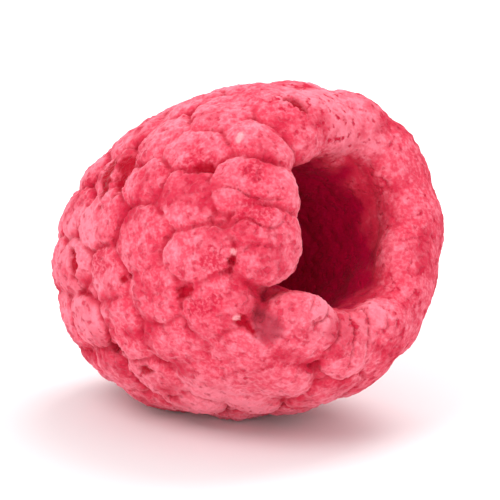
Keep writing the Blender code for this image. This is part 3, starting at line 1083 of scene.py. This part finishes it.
def keep_largest(piece: bpy.types.Object) -> None:
    """Drops every loose scrap and sealed bubble, and keeps the largest body of a piece."""
    bm = bmesh.new()
    bm.from_mesh(piece.data)
    left = set(bm.verts)
    bodies = []
    while left:
        reached = {left.pop()}
        edge = set(reached)
        while edge:
            edge = {e.other_vert(v) for v in edge for e in v.link_edges} - reached
            reached |= edge
        left -= reached
        bodies.append(reached)
    bodies.sort(key=len)
    for scrap in bodies[:-1]:
        bmesh.ops.delete(bm, geom=list(scrap), context="VERTS")
    bm.to_mesh(piece.data)
    bm.free()
    LOG.info("%s: %d scraps dropped", piece.name, len(bodies) - 1)


@dataclass(frozen=True)
class Lamp:
    """A square soft light: its power and size, and the way to it from the fruit, as the camera sees it."""

    name: str
    power: float
    size: float
    right: float
    back: float
    rise: float
    distance: float


LAMPS = (
    Lamp("key", 0.66, 0.25, -0.55, 0.6, 0.9, 0.45),
    Lamp("fill", 1.38, 0.4, -0.15, 0.95, -0.12, 0.62),
    Lamp("top", 1.4, 0.3, 0.3, -0.5, 1.0, 0.5),
)


@dataclass(frozen=True)
class Studio:
    """A plain pale floor, soft light, and a camera at the photograph's viewing angle."""

    azimuth: float = math.radians(42.0)
    elevation: float = math.radians(15.0)
    distance: float = 0.45
    view_width: float = 29.55 * MM
    sensor: float = 36.0
    mouth_right: float = 0.195
    mouth_up: float = 0.043
    floor_radius: float = 1.5
    floor_sides: int = 64
    floor_colour: Colour = (0.86, 0.86, 0.87)
    floor_roughness: float = 0.9
    world_colour: Colour = (1.0, 1.0, 1.0)
    world_strength: float = 0.85
    nearest: float = 0.01
    furthest: float = 10.0

    def directions(self) -> tuple[Vector, Vector, Vector]:
        """The camera's right, its up, and the way back to it from the fruit."""
        a, e = self.azimuth, self.elevation
        right = Vector((math.cos(a), math.sin(a), 0.0))
        back = Vector((math.sin(a) * math.cos(e), -math.cos(a) * math.cos(e), math.sin(e)))
        return right, back.cross(right), back

    def camera(self, mouth: Vector) -> None:
        """Aims the camera so that the middle of the fruit's mouth is seen where the photograph has it."""
        right, up, back = self.directions()
        target = mouth - (right * self.mouth_right + up * self.mouth_up) * self.view_width
        data = bpy.data.cameras.new("camera")
        data.sensor_width = self.sensor
        data.lens = self.sensor * self.distance / self.view_width
        data.clip_start, data.clip_end = self.nearest, self.furthest
        made = piece_from(data, "camera")
        turned = Matrix((right, up, back)).transposed().to_4x4()
        made.matrix_world = Matrix.Translation(target + back * self.distance) @ turned
        bpy.context.scene.camera = made

    def light(self, lamp: Lamp) -> None:
        """Sets up one lamp, turned to the fruit."""
        right, _, back = self.directions()
        way = back * lamp.back + right * lamp.right + Vector((0.0, 0.0, lamp.rise))
        data = bpy.data.lights.new(lamp.name, "AREA")
        data.energy = lamp.power
        data.size = lamp.size
        made = piece_from(data, lamp.name)
        made.location = way.normalized() * lamp.distance
        made.rotation_mode = "QUATERNION"
        made.rotation_quaternion = way.to_track_quat("Z", "Y")

    def floor(self) -> None:
        """A wide flat disc, just below the fruit."""
        bm = bmesh.new()
        bmesh.ops.create_circle(bm, cap_ends=True, segments=self.floor_sides, radius=self.floor_radius)
        mesh = bpy.data.meshes.new("floor")
        bm.to_mesh(mesh)
        bm.free()
        made = piece_from(mesh, "floor")
        material = bpy.data.materials.new("floor")
        material.use_nodes = True
        shader = material.node_tree.nodes["Principled BSDF"]
        shader.inputs["Base Color"].default_value = (*self.floor_colour, 1.0)
        shader.inputs["Roughness"].default_value = self.floor_roughness
        mesh.materials.append(material)

    def build(self, mouth: Vector) -> None:
        """Sets the stage round a fruit with its mouth here."""
        world = bpy.data.worlds.new("studio")
        world.use_nodes = True
        sky = world.node_tree.nodes["Background"].inputs
        sky["Color"].default_value = (*self.world_colour, 1.0)
        sky["Strength"].default_value = self.world_strength
        bpy.context.scene.world = world
        bpy.context.scene.view_settings.view_transform = "Standard"
        self.floor()
        for lamp in LAMPS:
            self.light(lamp)
        self.camera(mouth)


def main() -> None:
    """Builds the fruit and its stage, and reports each piece."""
    logging.basicConfig(level=logging.INFO, format="%(name)s: %(message)s")
    fruit = Fruit()
    flesh = fruit.build()
    LOG.info("%s: %d vertices", flesh.name, len(flesh.data.vertices))
    Studio().build(fruit.form.lying() @ Vector((fruit.form.body_length, 0.0, 0.0)))


if __name__ == "__main__":
    main()
